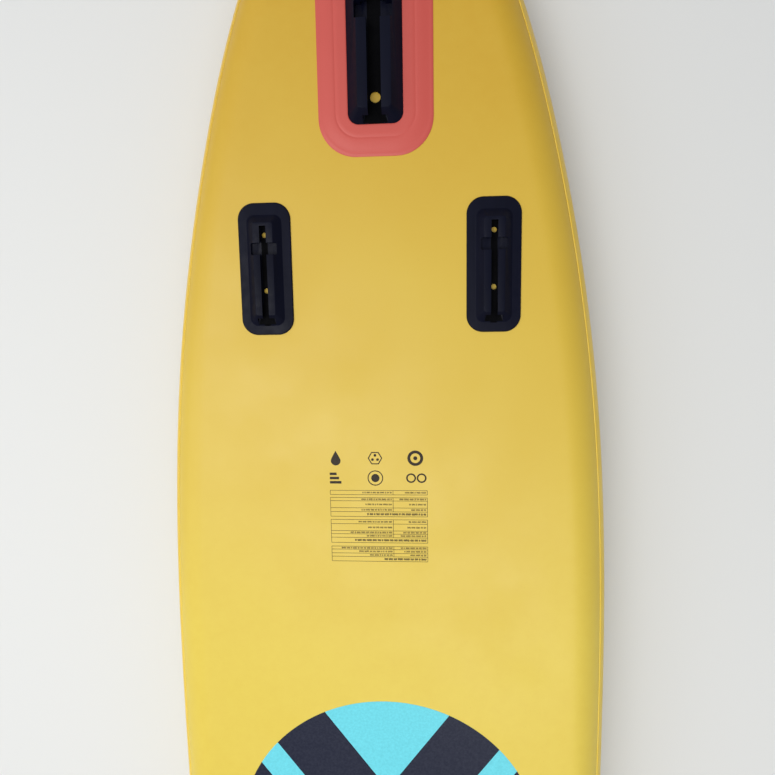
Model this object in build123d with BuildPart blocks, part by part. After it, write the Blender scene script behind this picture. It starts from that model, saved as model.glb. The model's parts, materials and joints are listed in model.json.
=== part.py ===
"""Inflatable windsurf and paddle board, lying deck down as it does while its fins are fitted.

Every piece is made in the board frame: X across, Y towards the tail, Z out of the bottom, with the flat
part of the deck on Z = 0 and the middle of the length on Y = 0. rest_location() then sets the whole
board down on its nose tip and tail pad, with the origin under the middle of its bounding box.
"""

import math
import os

from build123d import *

# --- Hull ---------------------------------------------------------------------------------------
LENGTH = 3200.0
HALF_WIDTH = 400.0
THICKNESS = 150.0
NOSE_Y = -LENGTH / 2
TAIL_Y = LENGTH / 2
SHEET = 1.2  # one layer of coated fabric
RAIL_RADIUS = 70.0  # how far the bottom and the deck round over into the side
TAPE_REACH = 16.0  # plan width of rail tape that shows inboard of the widest line
WALL_REACH = 8.0  # plan width of the side wall under that tape
SEAM_HALF = 70.0  # half length of the patch over each tape joint

# Outline: an arc at each end, joined by one spline down each side
TAIL_FLAT = 70.0
TAIL_CORNER = 115.0
NOSE_CORNER = 130.0
CORNER_ANGLE = 62.0
SIDE_POINTS = [(303, 1160), (372, 760), (HALF_WIDTH, 100), (375, -600), (285, -1150)]
SIDE_STEPS = 24  # points that carry an inset copy of the side

# Rocker: flat from the tail, then two arcs that curl towards the deck. Radii are the bottom line's.
FLAT_END = -200.0
EASE_END = -900.0
EASE_RADIUS = 12000.0
NOSE_RADIUS = 3600.0
EASE_ANGLE = math.asin((FLAT_END - EASE_END) / EASE_RADIUS)
EASE_CENTRE = (FLAT_END, THICKNESS - EASE_RADIUS)
NOSE_CENTRE = (
    EASE_CENTRE[0] - (EASE_RADIUS - NOSE_RADIUS) * math.sin(EASE_ANGLE),
    EASE_CENTRE[1] + (EASE_RADIUS - NOSE_RADIUS) * math.cos(EASE_ANGLE),
)
OVERRUN = 60.0  # how far cutting shapes run past what they cut
CUT_DEPTH = 400.0

# --- Drop stitch --------------------------------------------------------------------------------
THREAD_PITCH = 100.0
THREAD_RADIUS = 1.0
THREAD_END_GAP = 0.6
THREAD_EDGE = 80.0  # the threads stop this far inside the outline

# --- Fin boxes ----------------------------------------------------------------------------------
FLANGE = 2.5
SIDE_BOX_X = 187.5
SIDE_BOX_Y = 960.0
SIDE_BOX = {
    "flange": (88.0, 216.0, 27.0),  # width, length, corner radius
    "foot": (58.0, -92.5, 88.5, 13.0),  # width, nose end, tail end, corner radius
    "crown": (33.0, -75.0, 75.0, 4.0),  # width, nose end, tail end, corner radius
    "height": 15.0,
    "floor": 4.0,
    "slot": (10.3, 69.5),  # width, tail end
    "groove": (29.0, 7.0),  # width and height of the T under the lips
    "notch": (43.0, 33.0, 19.0),  # width, centre, length
    "holes": [(55.5, 4.4), (-35.0, 4.4)],  # centre, radius
}
CENTRE_BOX_Y = 1309.0
CENTRE_BOX = {
    "flange": (134.0, 296.0, 40.0),
    "foot": (88.0, -125.0, 125.0, 17.0),
    "crown": (53.0, -106.0, 106.0, 6.0),
    "height": 24.0,
    "floor": 4.0,
    "slot": (21.0, 98.0),
    "groove": (39.0, 10.0),
    "notch": (59.0, 38.0, 26.0),
    "holes": [(-85.0, 8.5)],
}
PATCH = (184.0, 348.0, 60.0)  # width, length, corner radius
PATCH_SHEET = 0.9
FLANGE_BEVEL = 1.4
NOTCH_CORNER = 3.0

# --- Deck pads ----------------------------------------------------------------------------------
PAD = 5.0
PAD_EDGE = 95.0  # bare deck between the widest line and the pad
PAD_SPANS = {
    "deck_pad_front": (-760.0, -103.0),
    "deck_pad_centre": (-97.0, 417.0),
    "deck_pad_rear": (423.0, 1057.0),
}
KICK_SPAN = (1063.0, 1440.0)
KICK_RISE = 20.0  # the stop at the tail end, above the pad
KICK_LENGTHS = (26.0, 60.0)  # along its crest and along its foot

# --- Carry handle -------------------------------------------------------------------------------
HANDLE_Y = 150.0
HANDLE_HALF = 130.0  # to the ends of the strap
HANDLE_FOOT = 45.0  # stitched length at each end
HANDLE_RISE = 34.0
HANDLE_SLOPE = 40.0  # plan length of each sloping part
HANDLE_BEND = 14.0
STRAP = (38.0, 2.4)  # width, thickness
GRIP = (46.0, 13.0, 76.0, 4.5)  # width, thickness, length, edge radius
HANDLE_PATCH = (70.0, 66.0, 14.0)  # width, length, corner radius
HANDLE_WINDOW = (96.0, 310.0, 30.0)

# --- Mast foot ----------------------------------------------------------------------------------
MAST_Y = -250.0
MAST_BASE = (52.0, 28.0, 14.0)  # foot radius, top radius, height
MAST_PATCH_RADIUS = 80.0
MAST_WINDOW = 86.0
MAST_BORE = 4.0
GLUE_LINE = 0.3  # under the base, which follows the curve of the deck
MAST_INSERT = (8.0, 12.0)  # radius, length

# --- Rings --------------------------------------------------------------------------------------
RING_WIRE = 2.5
RING_HALF = 17.5  # half the straight bar, to the wire's centre
RING_REACH = 27.0  # bar to the crown of the D, wire centres
RING_CORNERS = [5.0, 5.0, 15.0, 15.0]
RING_PATCH_RADIUS = 40.0
LOOP_WIDTH = 22.0
LOOP_BORE = 2.55
LOOP_SHEET = 1.6
LOOP_TAIL = 30.0
TOW_RING_Y = -1440.0
LEASH_RING_Y = 1484.0

# --- Inflation valve, with heights above the deck skin --------------------------------------------
VALVE_Y = -850.0
VALVE_HOLE = 17.3
VALVE_PANEL = 240.0  # half width of the four deck panels round the valve
PANEL_JOINTS = (-1450.0, -1300.0, -1130.0, -950.0, -750.0, -480.0, -200.0)  # Y of joints across the deck
VALVE_BARREL = (17.0, 13.0)  # outer radius, bore radius
VALVE_FLANGE = (30.0, 1.0, 4.0)  # radius, lower and upper face; the gasket is under it
VALVE_NECK = (19.0, 9.0)  # radius, top
VALVE_SEAT = (-38.0, -35.0, 8.5)  # inner and outer face, hole radius
VALVE_NUT = (26.0, 6.0)  # radius, thickness
SPIDER = (-20.0, -17.0, 4.5, 3.0)  # inner and outer face, hub radius, arm width
STEM_RADIUS = 2.4
STEM_BORE = 2.46
STEM_HEAD = (4.5, 1.5)  # radius, thickness
BUTTON = (5.5, 2.5, 5.0)  # radius, lower and upper face
FLAP = (11.0, 2.5)  # radius, thickness
SPRING = (3.9, 0.45, 5.0)  # radius, wire radius, turns
GAP = 0.3  # between bodies that move past each other
CAP = (24.0, 4.6, 14.0, 2.5)  # radius, rim, top, wall
CAP_SEAL = (14.5, 18.5, 1.6)  # inner and outer radius, thickness
CAP_GRIPS = 12

# --- Cargo bungee -------------------------------------------------------------------------------
CARGO_NOSE = (105.0, -1250.0)
CARGO_TAIL = (150.0, -960.0)
CARGO_PATCH_RADIUS = 34.0
CARGO_POST = (15.0, 3.0, 6.0, 9.0)  # foot radius and height, neck radius, head radius
CARGO_NECK_TOP = 11.5
CARGO_HEAD = 3.0
BUNGEE_RADIUS = 3.0
BUNGEE_HEIGHT = 7.6


# --- The rocker as geometry ---------------------------------------------------------------------
def rocker_angle(y, height):
    """Tilt of the hull at y, in radians, read on the line that stands height above the deck line."""
    if y >= FLAT_END:
        return 0.0
    angle = math.asin((FLAT_END - y) / (EASE_RADIUS - THICKNESS + height))
    if angle <= EASE_ANGLE:
        return angle
    return math.asin((NOSE_CENTRE[0] - y) / (NOSE_RADIUS - THICKNESS + height))


def rocker_point(y, height):
    """(y, z) on the line that stands height above the deck line."""
    angle = rocker_angle(y, height)
    if angle == 0:
        return y, height
    centre, radius = (EASE_CENTRE, EASE_RADIUS) if angle <= EASE_ANGLE else (NOSE_CENTRE, NOSE_RADIUS)
    return y, centre[1] + (radius - THICKNESS + height) * math.cos(angle)


def bottom_plane(y, x=0.0):
    """Plane on the bottom skin: its Z points out of the bottom and its Y towards the tail."""
    height = THICKNESS - SHEET
    angle = rocker_angle(y, height)
    origin = (x, *rocker_point(y, height))
    return Plane(origin=origin, x_dir=(1, 0, 0), z_dir=(0, -math.sin(angle), math.cos(angle)))


def deck_plane(y, x=0.0):
    """Plane on the deck skin: its Z points out of the deck and its Y towards the tail."""
    angle = rocker_angle(y, SHEET)
    origin = (x, *rocker_point(y, SHEET))
    return Plane(origin=origin, x_dir=(-1, 0, 0), z_dir=(0, math.sin(angle), -math.cos(angle)))


def band(low, high):
    """Side view of the slab between two heights above the deck line, as a face on the plane YZ."""
    nose_angle = math.degrees((EASE_END - NOSE_Y + OVERRUN) / NOSE_RADIUS)
    with BuildSketch(Plane.YZ) as side_view:
        with BuildLine():
            ends = []
            for height in (low, high):
                drop = THICKNESS - height
                flat = Line((TAIL_Y + OVERRUN, height), (FLAT_END, height))
                ease = JernArc(
                    start=flat @ 1,
                    tangent=(-1, 0),
                    radius=EASE_RADIUS - drop,
                    arc_size=math.degrees(EASE_ANGLE),
                )
                curl = JernArc(
                    start=ease @ 1,
                    tangent=ease % 1,
                    radius=NOSE_RADIUS - drop,
                    arc_size=nose_angle,
                )
                ends.append((flat @ 0, curl @ 1))
            Line(ends[0][0], ends[1][0])
            Line(ends[0][1], ends[1][1])
        make_face()
    return side_view.sketch


# --- Plan shapes --------------------------------------------------------------------------------
def outline_ends(inset):
    """Half of the tail end and half of the nose, each up to where the side of the board begins."""
    tail_end = Line((0, TAIL_Y - inset), (TAIL_FLAT, TAIL_Y - inset))
    tail_corner = JernArc(
        start=tail_end @ 1, tangent=(1, 0), radius=TAIL_CORNER - inset, arc_size=-CORNER_ANGLE
    )
    nose_corner = JernArc(
        start=(0, NOSE_Y + inset), tangent=(1, 0), radius=NOSE_CORNER - inset, arc_size=CORNER_ANGLE
    )
    return tail_end, tail_corner, nose_corner


_, tail_corner, nose_corner = outline_ends(0.0)
side_curve = Spline(
    tail_corner @ 1,
    *SIDE_POINTS,
    nose_corner @ 1,
    tangents=[tail_corner % 1, (nose_corner % 1) * -1],
)


def plan_shape(inset=0.0):
    """The outline of the board seen from above, moved inwards by inset."""
    side_points = []
    for step in range(1, SIDE_STEPS):
        along = side_curve % (step / SIDE_STEPS)
        side_points.append(side_curve @ (step / SIDE_STEPS) + Vector(along.Y, -along.X) * inset)
    with BuildSketch() as plan:
        with BuildLine():
            tail_end, tail_corner, nose_corner = outline_ends(inset)
            Spline(
                tail_corner @ 1,
                *side_points,
                nose_corner @ 1,
                tangents=[tail_corner % 1, (nose_corner % 1) * -1],
            )
            mirror(about=Plane.YZ)
        make_face()
    return plan.sketch


with BuildSketch() as seam_strip:
    Rectangle(2 * SEAM_HALF, LENGTH + 2 * OVERRUN)


# --- Hull solids that the sheets are cut from ---------------------------------------------------
def hull_solid(inset):
    """The whole hull with every face moved inwards by inset."""
    with BuildPart() as hull:
        extrude(band(inset, THICKNESS - inset), amount=HALF_WIDTH + OVERRUN, both=True)
        extrude(plan_shape(inset), amount=CUT_DEPTH, both=True, mode=Mode.INTERSECT)
        sides = [f for f in hull.faces() if abs(f.normal_at(f.center()).Z) < 0.5]
        skins = [f for f in hull.faces() if f not in sides]
        side_edges = [e for f in sides for e in f.edges()]
        rim = [e for f in skins for e in f.edges() if e in side_edges]
        fillet(rim, RAIL_RADIUS - inset)
    return hull.part


tape_hull = hull_solid(0.0)
skin_hull = hull_solid(SHEET)
chamber = hull_solid(2 * SHEET)

# --- Rail tapes and the patches over their joints -----------------------------------------------
with BuildPart() as tape_layer:
    add(tape_hull)
    add(skin_hull, mode=Mode.SUBTRACT)
    extrude(plan_shape(TAPE_REACH), amount=CUT_DEPTH, both=True, mode=Mode.SUBTRACT)

with BuildPart() as tapes:
    add(tape_layer.part)
    extrude(seam_strip.sketch, amount=CUT_DEPTH, both=True, mode=Mode.SUBTRACT)
left_rail_tape, right_rail_tape = tapes.solids().sort_by(Axis.X)

with BuildPart() as seam_patches:
    add(tape_layer.part)
    extrude(seam_strip.sketch, amount=CUT_DEPTH, both=True, mode=Mode.INTERSECT)
nose_seam_patch, tail_seam_patch = seam_patches.solids().sort_by(Axis.Y)

# --- Airtight sheets ----------------------------------------------------------------------------
with BuildPart() as skin_layer:
    add(skin_hull)
    add(chamber, mode=Mode.SUBTRACT)

with BuildPart() as side_walls:
    add(skin_layer.part)
    extrude(plan_shape(WALL_REACH), amount=CUT_DEPTH, both=True, mode=Mode.SUBTRACT)
    split(bisect_by=Plane.YZ, keep=Keep.BOTH)
left_sidewall, right_sidewall = side_walls.solids().sort_by(Axis.X)

with BuildPart() as sheets:
    add(skin_layer.part)
    extrude(plan_shape(WALL_REACH), amount=CUT_DEPTH, both=True, mode=Mode.INTERSECT)
deck_sheet, bottom_skin = sheets.solids().sort_by(Axis.Z)

with BuildPart() as deck_skin:
    add(deck_sheet)
    with BuildSketch(deck_plane(VALVE_Y)):
        Circle(VALVE_HOLE)
    extrude(amount=OVERRUN / 2, both=True, mode=Mode.SUBTRACT)


def tall_block(x_low, x_high, y_low, y_high):
    """A block over a rectangle in plan, taller than the board."""
    size = Box(x_high - x_low, y_high - y_low, 2 * CUT_DEPTH)
    return Pos((x_low + x_high) / 2, (y_low + y_high) / 2, 0) * size


def deck_panels():
    """The deck sheet in panels butted edge to edge, each short enough to be nearly flat lengthways."""
    side = HALF_WIDTH + OVERRUN
    blocks = []
    joints = (-TAIL_Y - OVERRUN, *PANEL_JOINTS, TAIL_Y + OVERRUN)
    for low, high in zip(joints, joints[1:]):
        if low < VALVE_Y < high:  # the panels round the valve's hole
            blocks += [tall_block(-side, -VALVE_PANEL, low, high), tall_block(VALVE_PANEL, side, low, high)]
            for y_low, y_high in ((low, VALVE_Y), (VALVE_Y, high)):
                blocks += [tall_block(-VALVE_PANEL, 0, y_low, y_high), tall_block(0, VALVE_PANEL, y_low, y_high)]
        else:
            blocks.append(tall_block(-side, side, low, high))
    return Compound([solid for block in blocks for solid in (deck_skin.part & block).solids()])


# --- Drop stitch --------------------------------------------------------------------------------
stitched_area = plan_shape(THREAD_EDGE).face()


def thread_places():
    """Plan places of the drop stitch threads, clear of the valve."""
    columns = int(HALF_WIDTH // THREAD_PITCH)
    rows = int(TAIL_Y // THREAD_PITCH)
    for row in range(-rows, rows + 1):
        for column in range(-columns, columns + 1):
            x = column * THREAD_PITCH
            y = row * THREAD_PITCH
            clear_of_valve = math.hypot(x, y - VALVE_Y) > 2 * VALVE_NUT[0]
            if clear_of_valve and stitched_area.is_inside(Vector(x, y, 0)):
                yield x, y


with BuildPart() as drop_stitch_threads:
    with BuildSketch():
        with Locations(*thread_places()):
            Circle(THREAD_RADIUS)
    extrude(amount=CUT_DEPTH, both=True)
    extrude(
        band(2 * SHEET, THICKNESS - 2 * SHEET),
        amount=HALF_WIDTH,
        both=True,
        mode=Mode.INTERSECT,
    )


# --- Fin boxes ----------------------------------------------------------------------------------
def fin_box(sizes, x, y):
    """A fin box on the bottom skin: flange, tapered ridge, and a T slot open at its nose end."""
    flange_width, flange_length, flange_corner = sizes["flange"]
    foot_width, foot_nose, foot_tail, foot_corner = sizes["foot"]
    crown_width, crown_nose, crown_tail, crown_corner = sizes["crown"]
    slot_width, slot_tail = sizes["slot"]
    groove_width, groove_height = sizes["groove"]
    notch_width, notch_centre, notch_length = sizes["notch"]
    floor = sizes["floor"]
    height = sizes["height"]
    skin = bottom_plane(y, x)
    run = slot_tail - foot_nose + OVERRUN
    with BuildPart() as box:
        with BuildSketch(skin):
            RectangleRounded(flange_width, flange_length, flange_corner)
        extrude(amount=FLANGE)
        chamfer(box.faces().sort_by(Axis.Z)[-1].edges(), FLANGE_BEVEL)
        with BuildSketch(skin.offset(FLANGE)):
            with Locations((0, (foot_nose + foot_tail) / 2)):
                RectangleRounded(foot_width, foot_tail - foot_nose, foot_corner)
        with BuildSketch(skin.offset(height)):
            with Locations((0, (crown_nose + crown_tail) / 2)):
                RectangleRounded(crown_width, crown_tail - crown_nose, crown_corner)
        loft()
        with BuildSketch(skin.offset(floor)):
            with Locations((0, slot_tail)):
                Rectangle(slot_width, run, align=(Align.CENTER, Align.MAX))
        extrude(amount=height, mode=Mode.SUBTRACT)
        with BuildSketch(skin.offset(floor)):
            with Locations((0, slot_tail)):
                Rectangle(groove_width, run, align=(Align.CENTER, Align.MAX))
        extrude(amount=groove_height, mode=Mode.SUBTRACT)
        with BuildSketch(skin.offset(floor)):
            with Locations((0, notch_centre)):
                RectangleRounded(notch_width, notch_length, NOTCH_CORNER)
        extrude(amount=height, mode=Mode.SUBTRACT)
        with BuildSketch(skin):
            for centre, radius in sizes["holes"]:
                with Locations((0, centre)):
                    Circle(radius)
        extrude(amount=height, mode=Mode.SUBTRACT)
    return box


left_fin_box = fin_box(SIDE_BOX, -SIDE_BOX_X, SIDE_BOX_Y)
right_fin_box = fin_box(SIDE_BOX, SIDE_BOX_X, SIDE_BOX_Y)
centre_fin_box = fin_box(CENTRE_BOX, 0.0, CENTRE_BOX_Y)

with BuildPart() as centre_fin_patch:
    centre_width, centre_length, centre_corner = CENTRE_BOX["flange"]
    window_width, window_nose, window_tail, window_corner = CENTRE_BOX["foot"]
    patch_seat = bottom_plane(CENTRE_BOX_Y)
    with BuildSketch(patch_seat):
        RectangleRounded(*PATCH)
    extrude(amount=PATCH_SHEET)
    with BuildSketch(patch_seat):
        RectangleRounded(
            centre_width + 2 * PATCH_SHEET,
            centre_length + 2 * PATCH_SHEET,
            centre_corner + PATCH_SHEET,
        )
    extrude(amount=FLANGE + PATCH_SHEET)
    with BuildSketch(patch_seat):
        RectangleRounded(centre_width, centre_length, centre_corner)
    extrude(amount=FLANGE, mode=Mode.SUBTRACT)
    with BuildSketch(patch_seat):
        RectangleRounded(window_width, window_tail - window_nose, window_corner)
    extrude(amount=FLANGE + PATCH_SHEET, mode=Mode.SUBTRACT)


# --- Deck pads ----------------------------------------------------------------------------------
def pad_plan(nose_y, tail_y):
    """Plan shape of a pad between two cuts across the deck."""
    with BuildSketch() as plan:
        add(plan_shape(PAD_EDGE))
        with Locations((0, (nose_y + tail_y) / 2)):
            Rectangle(2 * HALF_WIDTH, tail_y - nose_y, mode=Mode.INTERSECT)
    return plan.sketch


def deck_pad(span, window=None):
    """A foam pad that follows the rocker, with a window cut through it where one is given."""
    with BuildPart() as pad:
        extrude(band(SHEET - PAD, SHEET), amount=HALF_WIDTH, both=True)
        extrude(pad_plan(*span), amount=CUT_DEPTH, both=True, mode=Mode.INTERSECT)
        if window:
            extrude(window, amount=CUT_DEPTH, both=True, mode=Mode.SUBTRACT)
    return pad


with BuildSketch() as mast_window:
    with Locations((0, MAST_Y)):
        Circle(MAST_WINDOW)

with BuildSketch() as handle_window:
    with Locations((0, HANDLE_Y)):
        RectangleRounded(*HANDLE_WINDOW)

deck_pad_front = deck_pad(PAD_SPANS["deck_pad_front"], mast_window.sketch)
deck_pad_centre = deck_pad(PAD_SPANS["deck_pad_centre"], handle_window.sketch)
deck_pad_rear = deck_pad(PAD_SPANS["deck_pad_rear"])

with BuildPart() as kick_pad:
    kick_crest, kick_foot = KICK_LENGTHS
    pad_face = SHEET - PAD
    with BuildSketch(Plane.YZ):
        with BuildLine():
            Polyline(
                (KICK_SPAN[0], SHEET),
                (KICK_SPAN[0], pad_face),
                (KICK_SPAN[1] - kick_foot, pad_face),
                (KICK_SPAN[1] - kick_crest, pad_face - KICK_RISE),
                (KICK_SPAN[1], pad_face - KICK_RISE),
                (KICK_SPAN[1], SHEET),
                close=True,
            )
        make_face()
    extrude(amount=HALF_WIDTH, both=True)
    extrude(pad_plan(*KICK_SPAN), amount=CUT_DEPTH, both=True, mode=Mode.INTERSECT)

# --- Carry handle -------------------------------------------------------------------------------
handle_seat = SHEET - PATCH_SHEET
with BuildPart() as handle_patches:
    handle_patch_y = HANDLE_HALF - HANDLE_FOOT / 2
    with BuildSketch(Plane.XY.offset(SHEET)):
        with Locations((0, HANDLE_Y - handle_patch_y), (0, HANDLE_Y + handle_patch_y)):
            RectangleRounded(*HANDLE_PATCH)
    extrude(amount=-PATCH_SHEET)

with BuildPart() as carry_handle_strap:
    slope_foot = HANDLE_HALF - HANDLE_FOOT
    slope_top = slope_foot - HANDLE_SLOPE
    with BuildSketch(Plane.YZ):
        with BuildLine():
            strap_line = FilletPolyline(
                (HANDLE_Y - HANDLE_HALF, handle_seat),
                (HANDLE_Y - slope_foot, handle_seat),
                (HANDLE_Y - slope_top, handle_seat - HANDLE_RISE),
                (HANDLE_Y + slope_top, handle_seat - HANDLE_RISE),
                (HANDLE_Y + slope_foot, handle_seat),
                (HANDLE_Y + HANDLE_HALF, handle_seat),
                radius=HANDLE_BEND,
            )
            offset(strap_line, amount=STRAP[1], side=Side.RIGHT)
        make_face()
    extrude(amount=STRAP[0] / 2, both=True)

with BuildPart() as carry_handle_grip:
    grip_middle = handle_seat - HANDLE_RISE - STRAP[1] / 2
    with BuildSketch(Plane.XZ.offset(-HANDLE_Y)):
        with Locations((0, grip_middle)):
            RectangleRounded(GRIP[0], GRIP[1], GRIP[3])
            Rectangle(*STRAP, mode=Mode.SUBTRACT)
    extrude(amount=GRIP[2] / 2, both=True)


# --- Patches on the deck ------------------------------------------------------------------------
bare_hull = band(SHEET, THICKNESS)
patched_hull = band(SHEET - PATCH_SHEET, THICKNESS)


def deck_patch(places, radius):
    """Round fabric patches that follow the deck skin, with the middles of the discs at places."""
    with BuildPart() as patch:
        extrude(band(SHEET - PATCH_SHEET, SHEET), amount=HALF_WIDTH, both=True)
        with BuildSketch() as discs:
            with Locations(*places):
                Circle(radius)
        extrude(discs.sketch, amount=CUT_DEPTH, both=True, mode=Mode.INTERSECT)
    return patch


# --- Mast foot ----------------------------------------------------------------------------------
mast_patch = deck_patch([(0, MAST_Y)], MAST_PATCH_RADIUS)
mast_seat = deck_plane(MAST_Y).offset(PATCH_SHEET)

with BuildPart() as mast_base:
    foot_radius, top_radius, base_height = MAST_BASE
    with BuildSketch(mast_seat):
        Circle(foot_radius)
    with BuildSketch(mast_seat.offset(base_height)):
        Circle(top_radius)
    loft()
    with BuildSketch(mast_seat.offset(base_height)):
        Circle(MAST_INSERT[0])
    extrude(amount=-MAST_INSERT[1], mode=Mode.SUBTRACT)
    extrude(band(SHEET - PATCH_SHEET - GLUE_LINE, THICKNESS), amount=HALF_WIDTH, both=True, mode=Mode.SUBTRACT)

with BuildPart() as mast_insert:
    with BuildSketch(mast_seat.offset(base_height)):
        Circle(MAST_INSERT[0])
        Circle(MAST_BORE, mode=Mode.SUBTRACT)
    extrude(amount=-MAST_INSERT[1])


# --- Rings --------------------------------------------------------------------------------------
def ring_loop(seat):
    """Webbing folded round the straight bar of a ring and stitched down behind it."""
    bar_height = LOOP_BORE + LOOP_SHEET
    side = Plane(origin=seat.origin, x_dir=seat.y_dir, z_dir=seat.x_dir)
    with BuildPart() as loop:
        with BuildSketch(side):
            with Locations((0, bar_height)):
                Circle(bar_height)
            Rectangle(LOOP_TAIL, 2 * LOOP_SHEET, align=(Align.MIN, Align.MIN))
            with Locations((0, bar_height)):
                Circle(LOOP_BORE, mode=Mode.SUBTRACT)
        extrude(amount=LOOP_WIDTH / 2, both=True)
    return loop


def d_ring(seat):
    """A bent wire D lying flat on its seat, its straight bar in the loop and its bow ahead of it."""
    level = seat.offset(LOOP_BORE + LOOP_SHEET)
    with BuildPart() as ring:
        with BuildLine(level) as wire:
            FilletPolyline(
                (-RING_HALF, 0),
                (RING_HALF, 0),
                (RING_HALF, -RING_REACH),
                (-RING_HALF, -RING_REACH),
                radius=RING_CORNERS,
                close=True,
            )
        with BuildSketch(Plane(origin=level.origin, x_dir=level.y_dir, z_dir=level.x_dir)):
            Circle(RING_WIRE)
        sweep(path=wire.wires()[0])
    return ring


tow_seat = bottom_plane(TOW_RING_Y)
with BuildPart() as tow_ring_patch:
    with BuildSketch(tow_seat):
        Circle(RING_PATCH_RADIUS)
    extrude(amount=PATCH_SHEET)
tow_ring_loop = ring_loop(tow_seat.offset(PATCH_SHEET))
tow_ring = d_ring(tow_seat.offset(PATCH_SHEET))

leash_seat = deck_plane(LEASH_RING_Y)
leash_ring_patch = deck_patch([(0, LEASH_RING_Y)], RING_PATCH_RADIUS)
leash_ring_loop = ring_loop(leash_seat.offset(PATCH_SHEET))
leash_ring = d_ring(leash_seat.offset(PATCH_SHEET))

# --- Inflation valve ----------------------------------------------------------------------------
valve_seat = deck_plane(VALVE_Y)


def ring_at(low, high, outer, inner):
    """A round ring or tube on the valve's axis, between two heights above the deck skin."""
    with BuildPart() as tube:
        with BuildSketch(valve_seat.offset(low)):
            Circle(outer)
            Circle(inner, mode=Mode.SUBTRACT)
        extrude(amount=high - low)
    return tube.part


with BuildPart() as valve_body:
    add(ring_at(VALVE_SEAT[1], VALVE_NECK[1], VALVE_BARREL[0], VALVE_BARREL[1]))
    add(ring_at(VALVE_FLANGE[1], VALVE_FLANGE[2], VALVE_FLANGE[0], VALVE_BARREL[1]))
    add(ring_at(VALVE_FLANGE[1], VALVE_NECK[1], VALVE_NECK[0], VALVE_BARREL[1]))
    add(ring_at(VALVE_SEAT[0], VALVE_SEAT[1], VALVE_BARREL[0], VALVE_SEAT[2]))
    with BuildSketch(valve_seat.offset(SPIDER[0])):
        Circle(SPIDER[2])
        Rectangle(2 * VALVE_BARREL[1] + SPIDER[3], SPIDER[3])
        Rectangle(SPIDER[3], 2 * VALVE_BARREL[1] + SPIDER[3])
        Circle(STEM_BORE, mode=Mode.SUBTRACT)
    extrude(amount=SPIDER[1] - SPIDER[0])

with BuildPart() as valve_gasket:
    add(ring_at(0.0, VALVE_FLANGE[1], VALVE_FLANGE[0], VALVE_HOLE))
    extrude(bare_hull, amount=HALF_WIDTH, both=True, mode=Mode.SUBTRACT)

with BuildPart() as valve_nut:
    nut_face = -SHEET
    add(ring_at(nut_face - VALVE_NUT[1], nut_face, VALVE_NUT[0], VALVE_BARREL[0]))
    with BuildSketch(valve_seat.offset(nut_face - VALVE_NUT[1])):
        with PolarLocations(VALVE_NUT[0], 8):
            Rectangle(4, 6)
    extrude(amount=VALVE_NUT[1], mode=Mode.SUBTRACT)

flap_face = VALVE_SEAT[0] - GAP
with BuildPart() as valve_flap:
    add(ring_at(flap_face - FLAP[1], flap_face, FLAP[0], STEM_BORE))

with BuildPart() as valve_stem:
    flap_back = flap_face - FLAP[1] - GAP
    with BuildSketch(valve_seat.offset(flap_back - STEM_HEAD[1])):
        Circle(STEM_HEAD[0])
    extrude(amount=STEM_HEAD[1])
    with BuildSketch(valve_seat.offset(flap_back)):
        Circle(STEM_RADIUS)
    extrude(amount=BUTTON[1] - flap_back)
    with BuildSketch(valve_seat.offset(BUTTON[1])):
        Circle(BUTTON[0])
    extrude(amount=BUTTON[2] - BUTTON[1])
    with BuildSketch(valve_seat.offset(BUTTON[2])):
        Rectangle(2 * BUTTON[0], SPIDER[3] / 2)
    extrude(amount=-BUTTON[1] / 3, mode=Mode.SUBTRACT)

with BuildPart() as valve_spring:
    spring_radius, spring_wire, spring_turns = SPRING
    spring_foot = SPIDER[1] + spring_wire + GAP / 10
    spring_height = BUTTON[1] - spring_foot - spring_wire - GAP / 10
    with BuildLine(valve_seat.offset(spring_foot)) as coil:
        Helix(
            spring_height / spring_turns,
            spring_height,
            spring_radius,
            direction=valve_seat.z_dir,
        )
    with BuildSketch(Plane(origin=coil.line @ 0, z_dir=coil.line % 0)):
        Circle(spring_wire)
    sweep(path=coil.line, is_frenet=True)

cap_radius, cap_rim, cap_top, cap_wall = CAP
seal_inner, seal_outer, seal_thickness = CAP_SEAL
with BuildPart() as cap_seal:
    seal_face = VALVE_NECK[1] + GAP / 10
    add(ring_at(seal_face, seal_face + seal_thickness, seal_outer, seal_inner))

with BuildPart() as valve_cap:
    cap_roof = seal_face + seal_thickness + GAP / 10
    with BuildSketch(valve_seat.offset(cap_rim)):
        Circle(cap_radius)
        with PolarLocations(cap_radius, CAP_GRIPS):
            Circle(cap_wall / 2)
    extrude(amount=cap_top - cap_rim)
    with BuildSketch(valve_seat.offset(cap_rim)):
        Circle(cap_radius - cap_wall)
    extrude(amount=cap_roof - cap_rim, mode=Mode.SUBTRACT)


# --- Cargo bungee -------------------------------------------------------------------------------
def mirrored(place):
    """The same place on the other side of the centre line."""
    return (-place[0], place[1])


cargo_places = [mirrored(CARGO_TAIL), CARGO_TAIL, CARGO_NOSE, mirrored(CARGO_NOSE)]
cargo_patches = deck_patch(cargo_places, CARGO_PATCH_RADIUS)

with BuildPart() as cargo_posts:
    post_foot, foot_height, neck_radius, head_radius = CARGO_POST
    for x, y in cargo_places:
        seat = deck_plane(y, x).offset(PATCH_SHEET)
        with BuildSketch(seat):
            Circle(post_foot)
        extrude(amount=foot_height)
        with BuildSketch(seat.offset(foot_height)):
            Circle(neck_radius)
        extrude(amount=CARGO_NECK_TOP - foot_height)
        with BuildSketch(seat.offset(CARGO_NECK_TOP)):
            Circle(head_radius)
        extrude(amount=CARGO_HEAD)
    extrude(patched_hull, amount=HALF_WIDTH, both=True, mode=Mode.SUBTRACT)

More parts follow.
